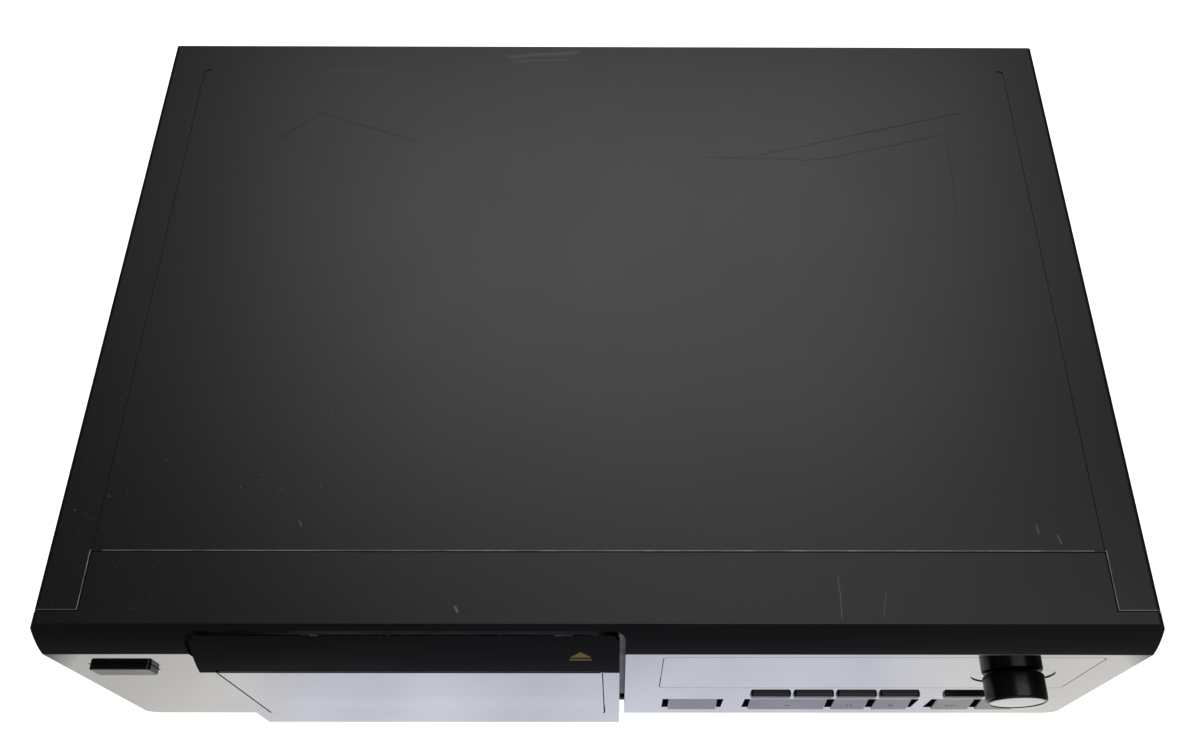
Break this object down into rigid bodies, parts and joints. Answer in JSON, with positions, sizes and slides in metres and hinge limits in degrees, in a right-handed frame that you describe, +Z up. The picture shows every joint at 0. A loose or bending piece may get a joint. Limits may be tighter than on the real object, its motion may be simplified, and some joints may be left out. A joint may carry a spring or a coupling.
{
  "type": "disc changer",
  "caption": "Wide audio cabinet with a flip-down front door, a rotary carousel of upright disc slots and an upright player.",
  "frame": {"origin": "middle of the footprint, on the surface the feet stand on", "axes": "+X to the object's right seen from the front, +Y to its rear, +Z up"},
  "size_m": [0.43, 0.308, 0.15],
  "materials": {
    "cover_steel": "fine satin black paint",
    "plated_steel": "zinc plated sheet, satin",
    "foot_plastic": "matte",
    "fascia_plastic": "high gloss, with a fine-grained upper flange",
    "smoked_window": "smoked, polished",
    "screw_steel": "black oxide",
    "key_plastic": "satin",
    "dial_metal": "satin side, glossy cap",
    "bezel_plastic": "matte",
    "natural_plastic": "natural",
    "black_plastic": "matte",
    "circuit_board": "satin resist",
    "switch_plastic": "matte",
    "tube_glass": "polished",
    "encoder_metal": "drawn can",
    "steel_rod": "ground",
    "belt_rubber": "matte",
    "capacitor_sleeve": "shrink sleeve",
    "core_steel": "varnished laminations",
    "winding_tape": "polyester tape"
  },
  "bodies": {
    "cabinet": {"chassis": "plated_steel", "feet": "foot_plastic", "top_cover": "cover_steel", "side_screws": "screw_steel", "rear_panel": "plated_steel", "rear_screws": "screw_steel", "front_panel": "fascia_plastic", "door_damper": "black_plastic", "door_catch": "black_plastic", "display_board": "circuit_board", "key_switches": "switch_plastic", "power_switch": "switch_plastic", "display_window": "smoked_window", "display_tube": "tube_glass", "dial_bezel": "bezel_plastic", "dial_encoder": "encoder_metal", "mechanism_deck": "black_plastic", "carousel_axles": "steel_rod", "carousel_belt": "belt_rubber", "player_frame": "black_plastic", "guide_rods": "steel_rod", "spindle_motor": "encoder_metal", "small_motors": "encoder_metal", "main_board": "circuit_board", "board_capacitors": "capacitor_sleeve", "transformer_core": "core_steel", "transformer_winding": "winding_tape", "phono_sockets": "black_plastic", "optical_socket": "black_plastic", "control_sockets": "black_plastic", "cord_gland": "black_plastic"},
    "door": {"front_door": "fascia_plastic", "door_window": "smoked_window"},
    "damper_gear": {"damper_gear": "natural_plastic"},
    "power_key": {"power_key": "key_plastic"},
    "dial": {"dial_knob": "dial_metal", "encoder_shaft": "steel_rod"},
    "carousel": {"carousel": "black_plastic", "disc_dividers": "black_plastic"},
    "drive_gear": {"drive_gear": "natural_plastic"},
    "motor_pulley": {"motor_pulley": "black_plastic"},
    "pickup_sled": {"pickup_sled": "black_plastic"},
    "feed_gear": {"feed_gear": "natural_plastic"},
    "turntable": {"turntable": "natural_plastic"},
    "clamp_arm": {"clamp_arm": "black_plastic"},
    "clamp_puck": {"clamp_puck": "natural_plastic"},
    "loading_arm": {"loading_arm": "natural_plastic"},
    "loading_gear": {"loading_gear": "natural_plastic"},
    "continue_key": {"continue_key": "key_plastic"},
    "shuffle_key": {"shuffle_key": "key_plastic"},
    "program_key": {"program_key": "key_plastic"},
    "repeat_key": {"repeat_key": "key_plastic"},
    "rewind_key": {"rewind_key": "key_plastic"},
    "forward_key": {"forward_key": "key_plastic"},
    "disc_skip_key": {"disc_skip_key": "key_plastic"},
    "play_key": {"play_key": "key_plastic"},
    "pause_key": {"pause_key": "key_plastic"},
    "stop_key": {"stop_key": "key_plastic"},
    "previous_key": {"previous_key": "key_plastic"},
    "next_key": {"next_key": "key_plastic"}
  },
  "joints": [
    {"name": "door_hinge", "type": "hinge", "parent": "cabinet", "child": "door", "pos_m": [-0.074, -0.1375, 0.018], "axis": [1, 0, 0], "range_deg": [0, 85]},
    {"name": "damper_turn", "type": "hinge", "parent": "cabinet", "child": "damper_gear", "pos_m": [-0.152, -0.128, 0.03445], "axis": [1, 0, 0], "range_deg": [-240, 5]},
    {"name": "power_press", "type": "slide", "parent": "cabinet", "child": "power_key", "axis": [0, 1, 0], "range_m": [0, 0.002], "stiffness_N_per_m": 300},
    {"name": "continue_press", "type": "slide", "parent": "cabinet", "child": "continue_key", "axis": [0, 1, 0], "range_m": [0, 0.0009], "stiffness_N_per_m": 300},
    {"name": "shuffle_press", "type": "slide", "parent": "cabinet", "child": "shuffle_key", "axis": [0, 1, 0], "range_m": [0, 0.0009], "stiffness_N_per_m": 300},
    {"name": "program_press", "type": "slide", "parent": "cabinet", "child": "program_key", "axis": [0, 1, 0], "range_m": [0, 0.0009], "stiffness_N_per_m": 300},
    {"name": "repeat_press", "type": "slide", "parent": "cabinet", "child": "repeat_key", "axis": [0, 1, 0], "range_m": [0, 0.0009], "stiffness_N_per_m": 300},
    {"name": "rewind_press", "type": "slide", "parent": "cabinet", "child": "rewind_key", "axis": [0, 1, 0], "range_m": [0, 0.0009], "stiffness_N_per_m": 300},
    {"name": "forward_press", "type": "slide", "parent": "cabinet", "child": "forward_key", "axis": [0, 1, 0], "range_m": [0, 0.0009], "stiffness_N_per_m": 300},
    {"name": "disc_skip_press", "type": "slide", "parent": "cabinet", "child": "disc_skip_key", "axis": [0, 1, 0], "range_m": [0, 0.0009], "stiffness_N_per_m": 300},
    {"name": "play_press", "type": "slide", "parent": "cabinet", "child": "play_key", "axis": [0, 1, 0], "range_m": [0, 0.0009], "stiffness_N_per_m": 300},
    {"name": "pause_press", "type": "slide", "parent": "cabinet", "child": "pause_key", "axis": [0, 1, 0], "range_m": [0, 0.0009], "stiffness_N_per_m": 300},
    {"name": "stop_press", "type": "slide", "parent": "cabinet", "child": "stop_key", "axis": [0, 1, 0], "range_m": [0, 0.0009], "stiffness_N_per_m": 300},
    {"name": "previous_press", "type": "slide", "parent": "cabinet", "child": "previous_key", "axis": [0, 1, 0], "range_m": [0, 0.0009], "stiffness_N_per_m": 300},
    {"name": "next_press", "type": "slide", "parent": "cabinet", "child": "next_key", "axis": [0, 1, 0], "range_m": [0, 0.0009], "stiffness_N_per_m": 300},
    {"name": "dial_turn", "type": "hinge", "parent": "cabinet", "child": "dial", "pos_m": [0.171, -0.148, 0.0944], "axis": [0, 1, 0], "continuous": true},
    {"name": "carousel_turn", "type": "hinge", "parent": "cabinet", "child": "carousel", "pos_m": [-0.074, 0.003, 0.018], "axis": [0, 0, 1], "continuous": true},
    {"name": "drive_gear_turn", "type": "hinge", "parent": "cabinet", "child": "drive_gear", "pos_m": [0.02782, -0.09882, 0.018], "axis": [0, 0, 1], "continuous": true},
    {"name": "motor_pulley_turn", "type": "hinge", "parent": "cabinet", "child": "motor_pulley", "pos_m": [0.05682, -0.11082, 0.022], "axis": [0, 0, 1], "continuous": true},
    {"name": "pickup_slide", "type": "slide", "parent": "cabinet", "child": "pickup_sled", "axis": [-1, 0, 0], "range_m": [0, 0.031]},
    {"name": "feed_gear_turn", "type": "hinge", "parent": "cabinet", "child": "feed_gear", "pos_m": [0.101, -0.025, 0.0565], "axis": [0, 1, 0], "range_deg": [-300, 5]},
    {"name": "turntable_spin", "type": "hinge", "parent": "cabinet", "child": "turntable", "pos_m": [0.137, 0, 0.082], "axis": [0, 1, 0], "continuous": true},
    {"name": "clamp_swing", "type": "hinge", "parent": "cabinet", "child": "clamp_arm", "pos_m": [0.198, 0.023, 0.082], "axis": [0, 0, -1], "range_deg": [0, 9]},
    {"name": "clamp_puck_spin", "type": "hinge", "parent": "clamp_arm", "child": "clamp_puck", "pos_m": [0.137, 0.009, 0.082], "axis": [0, 1, 0], "continuous": true},
    {"name": "loading_arm_swing", "type": "hinge", "parent": "cabinet", "child": "loading_arm", "pos_m": [0.08, -0.01, 0.03], "axis": [0, 1, 0], "range_deg": [0, 35]},
    {"name": "loading_gear_turn", "type": "hinge", "parent": "cabinet", "child": "loading_gear", "pos_m": [0.102, -0.01, 0.03], "axis": [0, 1, 0], "range_deg": [-30, 1]}
  ],
  "couplings": [
    {"joint": "damper_turn", "follows": "door_hinge", "ratio": -2.8},
    {"joint": "drive_gear_turn", "follows": "carousel_turn", "ratio": -11},
    {"joint": "motor_pulley_turn", "follows": "carousel_turn", "ratio": -27.923},
    {"joint": "feed_gear_turn", "follows": "pickup_slide", "rad_per_m": -166.67},
    {"joint": "loading_gear_turn", "follows": "loading_arm_swing", "ratio": -0.83333}
  ]
}
